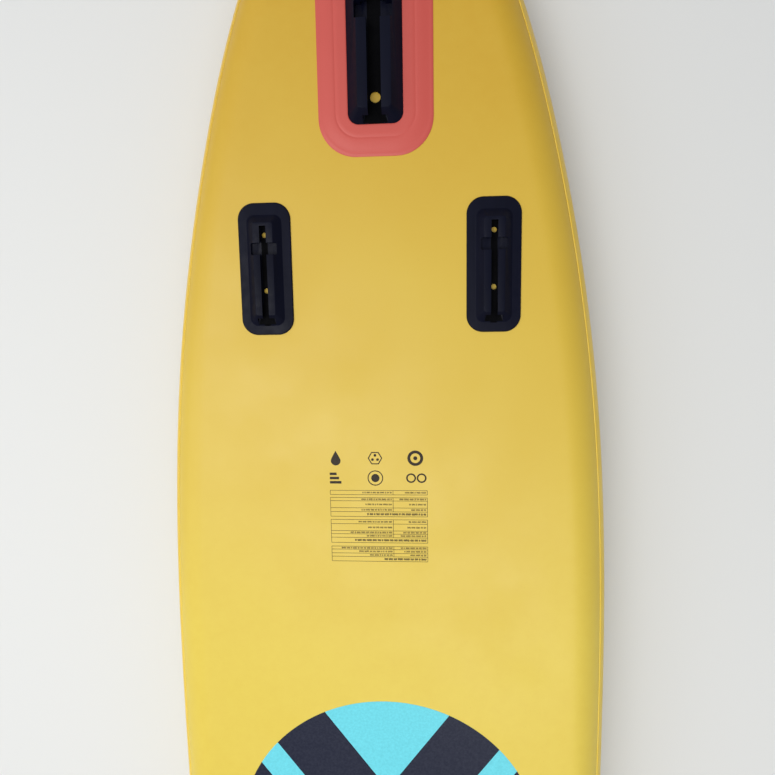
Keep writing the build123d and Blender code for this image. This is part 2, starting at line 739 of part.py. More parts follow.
with BuildPart() as cargo_bungee:
    nose_hold = deck_plane(CARGO_NOSE[1]).offset(BUNGEE_HEIGHT).origin
    tail_hold = deck_plane(CARGO_TAIL[1]).offset(BUNGEE_HEIGHT).origin
    across = Vector(1, 0, 0)
    bungee_plane = Plane(origin=tail_hold, x_dir=across, z_dir=across.cross(nose_hold - tail_hold))
    bungee_span = bungee_plane.to_local_coords(nose_hold).Y
    with BuildLine(bungee_plane) as bungee_line:
        corners = Polyline(
            (-CARGO_TAIL[0], 0),
            (CARGO_TAIL[0], 0),
            (CARGO_NOSE[0], bungee_span),
            (-CARGO_NOSE[0], bungee_span),
            close=True,
            mode=Mode.PRIVATE,
        )
        offset(corners, amount=neck_radius + BUNGEE_RADIUS + GAP)
    start = bungee_line.wires()[0]
    with BuildSketch(Plane(origin=start @ 0, z_dir=start % 0)):
        Circle(BUNGEE_RADIUS)
    sweep(path=start)

# --- Set down at rest ---------------------------------------------------------------------------
def lowest(piece, tilt):
    """Height of the lowest point of a piece once it is tilted about X."""
    return piece.rotate(Axis.X, tilt).bounding_box().min.Z


def rest_location():
    """Where the board comes to rest: on the deck at its nose and on the stop of its kick pad."""
    tilt = 0.0
    for _ in range(4):
        gap = lowest(deck_skin.part, tilt) - lowest(kick_pad.part, tilt)
        tilt += math.degrees(gap / LENGTH)
    rails = Compound([left_rail_tape, right_rail_tape, nose_seam_patch, tail_seam_patch])
    rails_box = rails.rotate(Axis.X, tilt).bounding_box()
    middle = (rails_box.min.Y + rails_box.max.Y) / 2
    return tilt, Location((0, -middle, -lowest(kick_pad.part, tilt))) * Location((0, 0, 0), (tilt, 0, 0))


pieces = {
    "bottom_skin": bottom_skin,
    "deck_skin": deck_panels(),
    "drop_stitch_threads": drop_stitch_threads.part,
    "left_sidewall": left_sidewall,
    "right_sidewall": right_sidewall,
    "left_rail_tape": left_rail_tape,
    "right_rail_tape": right_rail_tape,
    "nose_seam_patch": nose_seam_patch,
    "tail_seam_patch": tail_seam_patch,
    "left_fin_box": left_fin_box.part,
    "right_fin_box": right_fin_box.part,
    "centre_fin_box": centre_fin_box.part,
    "centre_fin_patch": centre_fin_patch.part,
    "deck_pad_front": deck_pad_front.part,
    "deck_pad_centre": deck_pad_centre.part,
    "deck_pad_rear": deck_pad_rear.part,
    "kick_pad": kick_pad.part,
    "handle_patches": handle_patches.part,
    "carry_handle_strap": carry_handle_strap.part,
    "carry_handle_grip": carry_handle_grip.part,
    "mast_base_patch": mast_patch.part,
    "mast_base": mast_base.part,
    "mast_base_insert": mast_insert.part,
    "tow_ring_patch": tow_ring_patch.part,
    "tow_ring_loop": tow_ring_loop.part,
    "tow_ring": tow_ring.part,
    "leash_ring_patch": leash_ring_patch.part,
    "leash_ring_loop": leash_ring_loop.part,
    "leash_ring": leash_ring.part,
    "valve_body": valve_body.part,
    "valve_gasket": valve_gasket.part,
    "valve_nut": valve_nut.part,
    "valve_flap": valve_flap.part,
    "valve_stem": valve_stem.part,
    "valve_spring": valve_spring.part,
    "valve_cap_seal": cap_seal.part,
    "valve_cap": valve_cap.part,
    "cargo_patches": cargo_patches.part,
    "cargo_posts": cargo_posts.part,
    "cargo_bungee": cargo_bungee.part,
}

rest_tilt, at_rest = rest_location()
os.makedirs("parts", exist_ok=True)
for name, piece in pieces.items():
    placed = piece.moved(at_rest)
    placed.label = name
    export_step(placed, f"parts/{name}.step")
print("rest tilt", round(rest_tilt, 4), "shift", [round(v, 4) for v in at_rest.position])
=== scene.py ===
"""Looks of an inflatable windsurf and paddle board, lying deck down with its fin boxes up.

Shapes are worked out in the board frame of the CAD model, in metres: X across, Y towards the tail, Z out of
the bottom, the flat part of the deck on Z = 0. BOARD then carries them to the place where the board rests.
"""

import json
import math
import random

import bmesh
import bpy
import numpy as np
from mathutils import Matrix, Vector


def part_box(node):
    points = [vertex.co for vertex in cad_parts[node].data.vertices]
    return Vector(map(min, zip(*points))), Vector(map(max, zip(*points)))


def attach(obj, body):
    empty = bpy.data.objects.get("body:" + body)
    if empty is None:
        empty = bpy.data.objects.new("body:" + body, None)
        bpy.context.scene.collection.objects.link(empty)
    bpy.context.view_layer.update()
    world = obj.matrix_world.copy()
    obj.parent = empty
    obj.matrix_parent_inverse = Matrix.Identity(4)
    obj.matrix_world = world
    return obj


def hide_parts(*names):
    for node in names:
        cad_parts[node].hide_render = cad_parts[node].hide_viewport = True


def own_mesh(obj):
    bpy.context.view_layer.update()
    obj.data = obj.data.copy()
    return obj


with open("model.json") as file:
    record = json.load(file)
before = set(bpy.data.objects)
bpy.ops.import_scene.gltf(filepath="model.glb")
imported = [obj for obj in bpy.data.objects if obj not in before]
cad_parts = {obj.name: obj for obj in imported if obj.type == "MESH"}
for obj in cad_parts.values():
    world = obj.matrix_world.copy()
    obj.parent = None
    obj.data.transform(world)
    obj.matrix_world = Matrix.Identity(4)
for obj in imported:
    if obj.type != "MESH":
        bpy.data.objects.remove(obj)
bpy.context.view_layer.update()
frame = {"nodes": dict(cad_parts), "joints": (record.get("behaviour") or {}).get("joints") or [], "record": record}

# --- Driving sizes, in metres ---------------------------------------------------------------------
HALF_LENGTH = 1.6
THICKNESS = 0.15
SHEET = 0.0012
RAIL_RADIUS = 0.07
TAPE_REACH = 0.016
WALL_REACH = 0.008
SEAM_HALF = 0.07
PATCH_SHEET = 0.0009
FLANGE = 0.0025
PRINT = 0.00025  # how far the print stands out of the skin
TAPE_LAP = 0.012  # how far the rail tape runs on under the patch over the joint
WALL_LAP = 0.0095  # plan width of the side wall's edge under the tape
LOOSE = 0.00005  # play between the side wall and the tape over it
CUT_PLAY = 0.0003  # how far past a slot's size a face still counts as inside it
CUT_OFFSET = 0.0002  # how far outside the slot its cut lines lie

# The rocker: flat from the tail to FLAT_END, then two arcs that curl towards the deck
FLAT_END = -0.2
EASE_END = -0.9
EASE_RADIUS = 12.0
NOSE_RADIUS = 3.6
EASE_ANGLE = math.asin((FLAT_END - EASE_END) / EASE_RADIUS)
EASE_CENTRE = (FLAT_END, THICKNESS - EASE_RADIUS)
NOSE_CENTRE = (
    EASE_CENTRE[0] - (EASE_RADIUS - NOSE_RADIUS) * math.sin(EASE_ANGLE),
    EASE_CENTRE[1] + (EASE_RADIUS - NOSE_RADIUS) * math.cos(EASE_ANGLE),
)

# Places on the bottom
SIDE_BOX_PLACE = (0.1875, 0.96)
CENTRE_BOX_Y = 1.309
CENTRE_FLANGE = (0.134, 0.296, 0.04)  # width, length, corner radius
CENTRE_WINDOW = (0.088, 0.25, 0.017)
CENTRE_PATCH = (0.184, 0.348, 0.06)
DISC_Y = -0.09
DISC_RADIUS = 0.278
VALVE_HOLE = 0.0173
PAD_CORNER = 0.022

random.seed(7)


def rest_matrix():
    """From the board frame to the row frame, read from the mount on the flat of the bottom."""
    mount = next(m for m in frame["record"]["mounts"] if m["name"] == "bottom_flat")
    normal = Vector(mount["axis"])
    tilt = Matrix.Rotation(math.atan2(-normal.y, normal.z), 4, "X")
    known = Vector((0.0, 0.76, THICKNESS - SHEET))
    return Matrix.Translation(Vector(mount["pos_m"]) - tilt @ known) @ tilt


BOARD = rest_matrix()
TO_BOARD = BOARD.inverted()


# --- The hull as formulas -------------------------------------------------------------------------
def rocker(y, height):
    """Z of the line that stands height above the deck line, at each y."""
    y = np.asarray(y, float)
    ease = EASE_CENTRE[1] + np.sqrt((EASE_RADIUS - THICKNESS + height) ** 2 - (y - EASE_CENTRE[0]) ** 2)
    nose = NOSE_CENTRE[1] + np.sqrt((NOSE_RADIUS - THICKNESS + height) ** 2 - (y - NOSE_CENTRE[0]) ** 2)
    turn = FLAT_END - (EASE_RADIUS - THICKNESS + height) * math.sin(EASE_ANGLE)
    return np.where(y >= FLAT_END, height, np.where(y >= turn, ease, nose))


def convex_outline(points):
    """The convex hull of points in the plane, anticlockwise."""
    points = sorted(map(tuple, points))
    halves = []
    for run in (points, points[::-1]):
        half = []
        for p in run:
            while len(half) > 1:
                a, b = half[-2], half[-1]
                if (b[0] - a[0]) * (p[1] - a[1]) - (b[1] - a[1]) * (p[0] - a[0]) > 0:
                    break
                half.pop()
            half.append(p)
        halves.append(half[:-1])
    return np.array(halves[0] + halves[1])


def resample(loop, count):
    """count points evenly spaced along a closed loop."""
    closed = np.vstack([loop, loop[:1]])
    reach = np.concatenate([[0], np.cumsum(np.linalg.norm(np.diff(closed, axis=0), axis=1))])
    at = np.linspace(0, reach[-1], count, endpoint=False)
    return np.stack([np.interp(at, reach, closed[:, k]) for k in range(loop.shape[1])], 1)


def read_outline():
    """The board's outline, from the CAD rail tapes, as an even loop from the middle of the tail."""
    points = []
    for name in ("left_rail_tape", "right_rail_tape", "nose_seam_patch", "tail_seam_patch"):
        points += [(TO_BOARD @ v.co).xy[:] for v in frame["nodes"][name].data.vertices]
    points = np.round(np.array(points), 5)
    points = np.vstack([points, points * [-1, 1]])
    loop = resample(convex_outline(points), 1440)
    start = int(np.argmin(np.abs(loop[:, 0]) - 10 * loop[:, 1]))
    loop = np.roll(loop, -start, axis=0)
    for _ in range(3):
        loop = (np.roll(loop, 2, 0) + np.roll(loop, 1, 0) + loop + np.roll(loop, -1, 0) + np.roll(loop, -2, 0)) / 5
    return resample(loop, 960)


OUTLINE = read_outline()
TANGENT = np.roll(OUTLINE, -1, 0) - np.roll(OUTLINE, 1, 0)
TANGENT /= np.linalg.norm(TANGENT, axis=1)[:, None]
INWARD = np.stack([-TANGENT[:, 1], TANGENT[:, 0]], 1)


def rocker_slope(y, height):
    """How steeply that line rises towards the tail."""
    step = 0.001
    return (rocker(y + step, height) - rocker(y - step, height)) / (2 * step)


def edge_distance(x, y):
    """How far inside the outline each point is, and the Y of the place on the outline nearest to it."""
    points = np.stack([np.ravel(x), np.ravel(y)], 1)
    a, b = OUTLINE, np.roll(OUTLINE, -1, 0)
    ab = b - a
    out = np.empty((len(points), 2))
    for low in range(0, len(points), 4000):
        p = points[low : low + 4000]
        t = np.einsum("pnk,nk->pn", p[:, None] - a[None], ab) / (ab**2).sum(1)
        near = a[None] + np.clip(t, 0, 1)[..., None] * ab[None]
        gap = np.sqrt(((p[:, None] - near) ** 2).sum(2))
        best = gap.argmin(1)
        rows = np.arange(len(p))
        out[low : low + 4000] = np.stack([gap[rows, best], near[rows, best, 1]], 1)
    return out[:, 0].reshape(np.shape(x)), out[:, 1].reshape(np.shape(x))


def rail_centre(edge_y, inward_y, inset, side):
    """Z of the centre of the rounded rail edge, and how far in it meets the sheet; side is 1 bottom, -1 deck."""
    radius = RAIL_RADIUS - inset
    height = THICKNESS - inset if side > 0 else inset
    meet = np.full(np.shape(edge_y), RAIL_RADIUS)
    for _ in range(4):
        meet_y = edge_y + inward_y * meet
        lean = np.arctan(rocker_slope(meet_y, height) * inward_y)
        meet = RAIL_RADIUS - side * radius * np.sin(lean)
    return rocker(edge_y + inward_y * meet, height) - side * radius * np.cos(lean), meet


def skin_z(x, y, inset, side):
    """Z of one sheet at each point, with the rounding at the rail."""
    radius = RAIL_RADIUS - inset
    distance, edge_y = edge_distance(x, y)
    inward_y = (y - edge_y) / np.maximum(distance, 1e-6)
    centre, meet = rail_centre(edge_y, inward_y, inset, side)
    across = np.clip(RAIL_RADIUS - distance, -radius, radius)
    rounded = centre + side * np.sqrt(radius**2 - across**2)
    flat = rocker(y, THICKNESS - inset if side > 0 else inset)
    share = np.clip((meet - distance) / 0.004, 0, 1)
    return flat + share * (rounded - flat)


def bottom_z(x, y, inset=SHEET):
    return skin_z(x, y, inset, 1)


def deck_z(x, y, inset=SHEET):
    return skin_z(x, y, inset, -1)


# --- Mesh helpers ---------------------------------------------------------------------------------
def mesh_object(name, verts, faces, smooth=True, world=False):
    """A mesh object from points in the board frame, or in the row frame if world is true."""
    mesh = bpy.data.meshes.new(name)
    mesh.from_pydata([tuple(map(float, v)) for v in verts], [], faces)
    if not world:
        mesh.transform(BOARD)
    mesh.validate()
    bm = bmesh.new()
    bm.from_mesh(mesh)
    bmesh.ops.remove_doubles(bm, verts=bm.verts, dist=1e-6)
    bmesh.ops.recalc_face_normals(bm, faces=bm.faces)
    bm.to_mesh(mesh)
    bm.free()
    obj = bpy.data.objects.new(name, mesh)
    bpy.context.scene.collection.objects.link(obj)
    mesh.polygons.foreach_set("use_smooth", [smooth] * len(mesh.polygons))
    return obj


def grid_faces(rows, columns, wrap_rows=False, wrap_columns=False):
    """Faces of a grid of points laid out row by row."""
    faces = []
    for i in range(rows if wrap_rows else rows - 1):
        for j in range(columns if wrap_columns else columns - 1):
            k, m = (i + 1) % rows, (j + 1) % columns
            faces.append((i * columns + j, i * columns + m, k * columns + m, k * columns + j))
    return faces


def apply_modifiers(obj):
    """Swaps an object's mesh for the one that its modifiers give."""
    graph = bpy.context.evaluated_depsgraph_get()
    made = bpy.data.meshes.new_from_object(obj.evaluated_get(graph))
    obj.modifiers.clear()
    obj.data = made
    return obj


def thicken(obj, thickness, offset=-1.0):
    layer = obj.modifiers.new("thickness", "SOLIDIFY")
    layer.thickness = thickness
    layer.offset = offset
    return apply_modifiers(obj)


def sharpen(obj, angle=32):
    """Smooth shading that stays crisp across edges sharper than angle."""
    bm = bmesh.new()
    bm.from_mesh(obj.data)
    limit = math.radians(angle)
    for edge in bm.edges:
        edge.smooth = len(edge.link_faces) == 2 and edge.calc_face_angle(0) < limit
    for face in bm.faces:
        face.smooth = True
    bm.to_mesh(obj.data)
    bm.free()
    return obj


def refined(node, bevel=0.0005, segments=2, angle=28, corner=0.0):
    """A copy of a CAD node with merged faces and rounded edges, which then stands for it.

    corner is the radius given in plan to the outer corners of a flat pad.
    """
    source = frame["nodes"][node]
    obj = bpy.data.objects.new(node + "_moulded", source.data.copy())
    bpy.context.scene.collection.objects.link(obj)
    obj.data.materials.clear()
    bm = bmesh.new()
    bm.from_mesh(obj.data)
    bmesh.ops.remove_doubles(bm, verts=bm.verts, dist=2e-6)
    bmesh.ops.dissolve_limit(bm, angle_limit=math.radians(1.2), verts=bm.verts, edges=bm.edges)
    if corner:
        upright = [
            edge
            for edge in bm.edges
            if len(edge.link_faces) == 2
            and edge.calc_face_angle(0) > math.radians(50)
            and abs((edge.verts[0].co - edge.verts[1].co).normalized().z) > 0.9
        ]
        bmesh.ops.bevel(bm, geom=upright, offset=corner, segments=8, profile=0.5, affect="EDGES")
    bm.to_mesh(obj.data)
    bm.free()
    if bevel:
        rounding = obj.modifiers.new("edges", "BEVEL")
        rounding.width = bevel
        rounding.segments = segments
        rounding.limit_method = "ANGLE"
        rounding.angle_limit = math.radians(angle)
        rounding.use_clamp_overlap = True
        rounding.harden_normals = False
        apply_modifiers(obj)
    sharpen(obj, 40)
    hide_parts(node)
    return obj


def tube(name, path, radius, sides=16, closed=True):
    """A round bar along a path of points in the board frame."""
    path = np.asarray(path, float)
    count = len(path)
    ahead = np.roll(path, -1, 0) - np.roll(path, 1, 0)
    if not closed:
        ahead[0] = path[1] - path[0]
        ahead[-1] = path[-1] - path[-2]
    normal = np.cross(path[1] - path[0], path[count // 3] - path[0])
    normal = normal / np.linalg.norm(normal) if np.linalg.norm(normal) > 1e-9 else np.array([0, 0, 1.0])
    verts = []
    for p, t in zip(path, ahead):
        t = t / np.linalg.norm(t)
        side = np.cross(t, normal)
        side /= np.linalg.norm(side)
        up = np.cross(side, t)
        for k in range(sides):
            a = 2 * math.pi * k / sides
            verts.append(p + radius * (math.cos(a) * side + math.sin(a) * up))
    faces = grid_faces(count, sides, wrap_rows=closed, wrap_columns=True)
    if not closed:
        faces.append(tuple(range(sides)))
        faces.append(tuple((count - 1) * sides + k for k in range(sides)))
    return mesh_object(name, verts, faces)


def put(obj, body, slot, material, *nodes):
    """Gives a piece its material and its body, and the CAD nodes that it stands for. The slot argument is not used.
    """
    obj.data.materials.clear()
    obj.data.materials.append(material)
    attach(obj, body)
    if nodes:
        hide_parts(*nodes)
    return obj


# --- Materials ------------------------------------------------------------------------------------
def srgb(red, green, blue):
    """A colour given as it shows on a screen, 0 to 255."""
    channels = []
    for c in (red / 255, green / 255, blue / 255):
        channels.append(((c + 0.055) / 1.055) ** 2.4 if c > 0.04045 else c / 12.92)
    return (*channels, 1.0)


class Surface:
    """A procedural material on object coordinates, built up one node at a time."""

    def __init__(self, name, roughness, **sockets):
        self.material = bpy.data.materials.new(name)
        self.material.use_nodes = True
        self.tree = self.material.node_tree
        self.bsdf = self.tree.nodes["Principled BSDF"]
        self.bsdf.inputs["Roughness"].default_value = roughness
        for socket, value in sockets.items():
            self.bsdf.inputs[socket.replace("_", " ")].default_value = value
        self.place = self.add("ShaderNodeTexCoord").outputs["Object"]
        self.normal = None

    def add(self, kind, inputs=(), **settings):
        node = self.tree.nodes.new(kind)
        for key, value in settings.items():
            setattr(node, key, value)
        for key, value in dict(inputs).items():
            if isinstance(value, bpy.types.NodeSocket):
                self.tree.links.new(value, node.inputs[key])
            else:
                node.inputs[key].default_value = value
        return node

    def noise(self, scale, detail=3.0, rough=0.5, stretch=(1, 1, 1)):
        place = self.add("ShaderNodeMapping", {"Vector": self.place, "Scale": stretch}).outputs[0]
        inputs = {"Vector": place, "Scale": scale, "Detail": detail, "Roughness": rough}
        return self.add("ShaderNodeTexNoise", inputs).outputs["Fac"]

    def waves(self, period, axis, distortion=0.0):
        inputs = {"Vector": self.place, "Scale": 2 * math.pi / 20 / period, "Distortion": distortion}
        node = self.add("ShaderNodeTexWave", inputs, bands_direction=axis)
        return node.outputs["Fac"]

    def math(self, operation, a, b=0.0, c=0.0):
        return self.add("ShaderNodeMath", {0: a, 1: b, 2: c}, operation=operation).outputs[0]

    def spread(self, value, low, high, to_low=0.0, to_high=1.0):
        inputs = {"Value": value, "From Min": low, "From Max": high, "To Min": to_low, "To Max": to_high}
        return self.add("ShaderNodeMapRange", inputs).outputs["Result"]

    def mix(self, factor, a, b, blend="MIX"):
        node = self.add("ShaderNodeMix", data_type="RGBA", blend_type=blend)
        for index, value in ((0, factor), (6, a), (7, b)):
            if isinstance(value, bpy.types.NodeSocket):
                self.tree.links.new(value, node.inputs[index])
            else:
                node.inputs[index].default_value = value
        return node.outputs[2]

    def colour(self, socket):
        self.tree.links.new(socket, self.bsdf.inputs["Base Color"])

    def roughness(self, socket):
        self.tree.links.new(socket, self.bsdf.inputs["Roughness"])

    def bump(self, height, strength, depth):
        inputs = {"Height": height, "Strength": strength, "Distance": depth}
        if self.normal is not None:
            inputs["Normal"] = self.normal
        self.normal = self.add("ShaderNodeBump", inputs).outputs["Normal"]
        self.tree.links.new(self.normal, self.bsdf.inputs["Normal"])


def coated_fabric(name, light, deep, rough=0.44, grain=0.10):
    """PVC laid over a fine woven base cloth: faint weave, random clouding, a painted shade that deepens the colour
    towards the tail, scuffs and a satin face.
    """
    s = Surface(name, rough)
    along = s.add("ShaderNodeSeparateXYZ", {0: s.place}).outputs["Y"]
    # Random clouding, plus a painted shade: the colour deepens towards the tail, along Y
    clouding_and_painted_shade = s.math("MULTIPLY_ADD", s.noise(2.2, 3.0, 0.55), 0.5, s.spread(along, 0.3, 1.5, -0.25, 0.75))
    mottle = s.noise(55.0, 2.0, 0.6)
    colour = s.mix(s.spread(clouding_and_painted_shade, 0.0, 1.0), light, deep)
    tint = s.mix(0.5, light, deep)
    colour = s.mix(s.spread(mottle, 0.35, 0.8, 0.0, 0.18), colour, tint)
    specks = s.spread(s.noise(420.0, 1.0, 0.5), 0.74, 0.8)
    colour = s.mix(s.math("MULTIPLY", specks, 0.12), colour, srgb(120, 96, 60), "MULTIPLY")
    s.colour(colour)
    s.roughness(s.spread(s.noise(9.0, 4.0, 0.6), 0.3, 0.7, rough - 0.07, rough + 0.08))
    weave = s.math("MULTIPLY", s.waves(0.0013, "X"), s.waves(0.0013, "Y"))
    s.bump(weave, grain, 0.0002)
    s.bump(s.noise(6.0, 2.0, 0.5), 0.10, 0.004)
    return s.material


def moulded_plastic(name, base, rough=0.36, grain=0.12, shine=0.22):
    """Injection-moulded plastic: fine spark texture, slight flow marks and scuffed gloss."""
    s = Surface(name, rough, Specular_IOR_Level=shine)
    flow = s.noise(28.0, 3.0, 0.55, (1.0, 0.25, 1.0))
    lighter = tuple(min(1.0, c * 1.7 + 0.002) for c in base[:3]) + (1.0,)
    s.colour(s.mix(s.spread(flow, 0.35, 0.75, 0.0, 0.6), base, lighter))
    s.roughness(s.spread(s.noise(70.0, 3.0, 0.6), 0.3, 0.7, rough - 0.08, rough + 0.12))
    s.bump(s.noise(1600.0, 2.0, 0.6), grain, 0.0002)
    s.bump(s.noise(45.0, 2.0, 0.5), 0.06, 0.0008)
    return s.material


def printed_ink(name, base, rough=0.4):
    """Screen-printed ink on the coated fabric, with the weave showing through."""
    s = Surface(name, rough, Specular_IOR_Level=0.2)
    worn = s.noise(240.0, 3.0, 0.6)
    faded = tuple(min(1.0, c * 1.12 + 0.01) for c in base[:3]) + (1.0,)
    s.colour(s.mix(s.spread(worn, 0.35, 0.7), base, faded))
    weave = s.math("MULTIPLY", s.waves(0.0013, "X"), s.waves(0.0013, "Y"))
    s.bump(weave, 0.1, 0.0002)
    return s.material


def webbing_cloth(name, base, rib="Y"):
    """Woven polyester webbing with cross ribs and selvedge fuzz."""
    s = Surface(name, 0.72, Sheen_Weight=0.35)
    ribs = s.waves(0.0017, rib, 0.4)
    light = tuple(min(1.0, c * 1.9 + 0.01) for c in base[:3]) + (1.0,)
    s.colour(s.mix(s.math("MULTIPLY", ribs, 0.6), base, light))
    s.bump(ribs, 0.7, 0.0005)
    s.bump(s.noise(1900.0, 2.0, 0.6), 0.3, 0.0003)
    return s.material


def grooved_foam(name, base, groove):
    """Closed-cell deck foam, sanded face, with crossed diagonal grooves cut into it."""
    s = Surface(name, 0.82)
    place = s.add("ShaderNodeSeparateXYZ", {0: s.place})
    lines = None
    for sign in (1.0, -1.0):
        along = s.math("MULTIPLY_ADD", place.outputs["X"], sign, place.outputs["Y"])
        cell = s.math("PINGPONG", along, 0.02)
        line = s.spread(cell, 0.0008, 0.0018, 1.0, 0.0)
        lines = line if lines is None else s.math("MAXIMUM", lines, line)
    cells = s.noise(900.0, 3.0, 0.7)
    face = s.mix(s.spread(cells, 0.3, 0.7, 0.0, 0.35), base, tuple(c * 0.72 for c in base[:3]) + (1.0,))
    s.colour(s.mix(lines, face, groove))
    s.bump(s.math("SUBTRACT", 1.0, lines), 1.0, 0.0012)
    s.bump(cells, 0.35, 0.0004)
    return s.material


def plain_metal(name, base, rough):
    """Drawn or turned metal with fine polishing marks."""
    s = Surface(name, rough, Metallic=1.0)
    marks = s.noise(160.0, 4.0, 0.6, (1.0, 0.15, 1.0))
    s.colour(s.mix(s.spread(marks, 0.3, 0.7), base, tuple(c * 0.85 for c in base[:3]) + (1.0,)))
    s.roughness(s.spread(marks, 0.3, 0.7, rough - 0.05, rough + 0.1))
    s.bump(marks, 0.08, 0.0002)
    return s.material


def braided_cord(name, base, fleck):
    """Braided sheath of elastic cord, with lighter tracer yarns."""
    s = Surface(name, 0.75, Sheen_Weight=0.25)
    diagonals = s.math("MULTIPLY", s.waves(0.002, "DIAGONAL"), s.waves(0.0023, "Y"))
    s.colour(s.mix(s.spread(diagonals, 0.35, 0.8), base, fleck))
    s.bump(diagonals, 0.8, 0.0005)
    return s.material


YELLOW = coated_fabric("pvc_yellow", srgb(224, 198, 78), srgb(201, 155, 26))
RAIL_YELLOW = coated_fabric("pvc_rail_yellow", srgb(238, 202, 30), srgb(226, 182, 18), 0.4)
# Very pale yellow for the bead along the rail tape's edge: a painted highlight
PAINTED_HIGHLIGHT_YELLOW = coated_fabric("pvc_painted_highlight_yellow", srgb(255, 240, 150), srgb(250, 228, 120), 0.3)
CORAL = coated_fabric("pvc_coral", srgb(212, 94, 84), srgb(196, 76, 66), 0.42)
BLACK = moulded_plastic("fin_box_black", srgb(4, 6, 24), 0.4, 0.12, 0.11)
# Darker than the box's own black: painted shade for the faces down in the slot and groove
PAINTED_RECESS_SHADE = moulded_plastic("fin_box_recess_painted_shade", srgb(2, 2, 4), 0.6, 0.2, 0.04)
FITTING = moulded_plastic("fitting_black", srgb(30, 32, 38), 0.4)
WHITE = moulded_plastic("valve_white", srgb(222, 223, 218), 0.35)
RUBBER = moulded_plastic("seal_rubber", srgb(38, 38, 40), 0.62, 0.2)
TURQUOISE = printed_ink("ink_turquoise", srgb(104, 205, 218))
NAVY = printed_ink("ink_navy", srgb(27, 31, 50))
LABEL_INK = printed_ink("ink_label", srgb(44, 34, 22), 0.5)
WEBBING = webbing_cloth("webbing_navy", srgb(32, 36, 52))
CROSS_WEBBING = webbing_cloth("webbing_cross", srgb(32, 36, 52), "X")
FOAM = grooved_foam("deck_foam_turquoise", srgb(82, 180, 190), srgb(30, 60, 80))
KICK_FOAM = grooved_foam("kick_foam_navy", srgb(44, 54, 80), srgb(24, 28, 44))
NEOPRENE = webbing_cloth("grip_neoprene", srgb(24, 26, 30), "Z")
THREAD = webbing_cloth("stitch_thread", srgb(214, 210, 198), "Z")
STEEL = plain_metal("ring_stainless", srgb(196, 198, 200), 0.2)
BRASS = plain_metal("insert_brass", srgb(201, 168, 100), 0.28)
BUNGEE = braided_cord("bungee_braid", srgb(34, 38, 54), srgb(112, 214, 226))


# --- Hull sheets ----------------------------------------------------------------------------------
def half_width_at(y, inset):
    """Half width of the outline, moved inwards by inset, at each y."""
    loop = OUTLINE + INWARD * inset
    right = loop[loop[:, 0] >= -1e-4]
    right = right[np.argsort(right[:, 1])]
    return np.interp(y, right[:, 1], right[:, 0])


def sheet_grid(inset_edge, rows, columns):
    """A grid over the board inside the outline: spread evenly, and closer together at both ends."""
    turn = np.linspace(-1, 1, rows)
    ends = np.sign(turn) * (1 - (1 - np.abs(turn)) ** 1.9)
    y = ends * (HALF_LENGTH - inset_edge)
    side = np.linspace(-1, 1, columns)
    across = np.sign(side) * (1 - (1 - np.abs(side)) ** 1.35)
    x = half_width_at(y, inset_edge)[:, None] * across[None]
    return x, np.repeat(y[:, None], columns, 1)


def hull_sheet(name, node, surface, slot, material):
    """One of the two airtight sheets, out to under the rail tape."""
    x, y = sheet_grid(WALL_REACH, 260, 110)
    z = surface(x, y)
    verts = np.stack([x.ravel(), y.ravel(), z.ravel()], 1)
    obj = mesh_object(name, verts, grid_faces(*x.shape))
    outwards = 1 if surface is bottom_z else -1
    middle = obj.data.polygons[len(obj.data.polygons) // 2].normal.z
    if middle * outwards < 0:
        obj.data.flip_normals()
    thicken(obj, SHEET)
    return put(obj, "board", slot, material, node)


hull_sheet("bottom_fabric", "bottom_skin", bottom_z, "bottom_fabric", YELLOW)
deck_sheet = hull_sheet("deck_fabric", "deck_skin", deck_z, "deck_fabric", YELLOW)


def cut_hole(obj, centre, axis, radius):
    """Cuts a round hole through a sheet."""
    bpy.ops.mesh.primitive_cylinder_add(vertices=64, radius=radius, depth=0.05)
    cutter = bpy.context.object
    cutter.matrix_world = Matrix.Translation(centre) @ axis.to_track_quat("Z", "Y").to_matrix().to_4x4()
    cut = obj.modifiers.new("hole", "BOOLEAN")
    cut.object = cutter
    cut.operation = "DIFFERENCE"
    cut.solver = "EXACT"
    apply_modifiers(obj)
    bpy.data.objects.remove(cutter)


valve_low, valve_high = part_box("valve_body")
lock_axis = next(Vector(j["axis"]) for j in frame["joints"] if j["name"] == "valve_lock_turn")
cut_hole(deck_sheet, (valve_low + valve_high) / 2, lock_axis, VALVE_HOLE)

for polygon in deck_sheet.data.polygons:
    polygon.use_smooth = True


def rail_section(inset, reach, steps, lip=0.0):
    """(distance inside the outline, height above the centre of the rounded edge) from inner edge to wall."""
    radius = RAIL_RADIUS - inset
    top = math.acos(1 - (reach - inset) / radius)
    arc = [(RAIL_RADIUS - radius * math.cos(a), radius * math.sin(a)) for a in np.linspace(top, 0, steps)]
    if lip:  # the edge is rolled down over its own thickness
        d, rise = arc[0]
        arc = [(d + 0.0006, rise + 0.0001 - lip), (d + 0.0003, rise - lip * 0.35), *arc]
    return arc


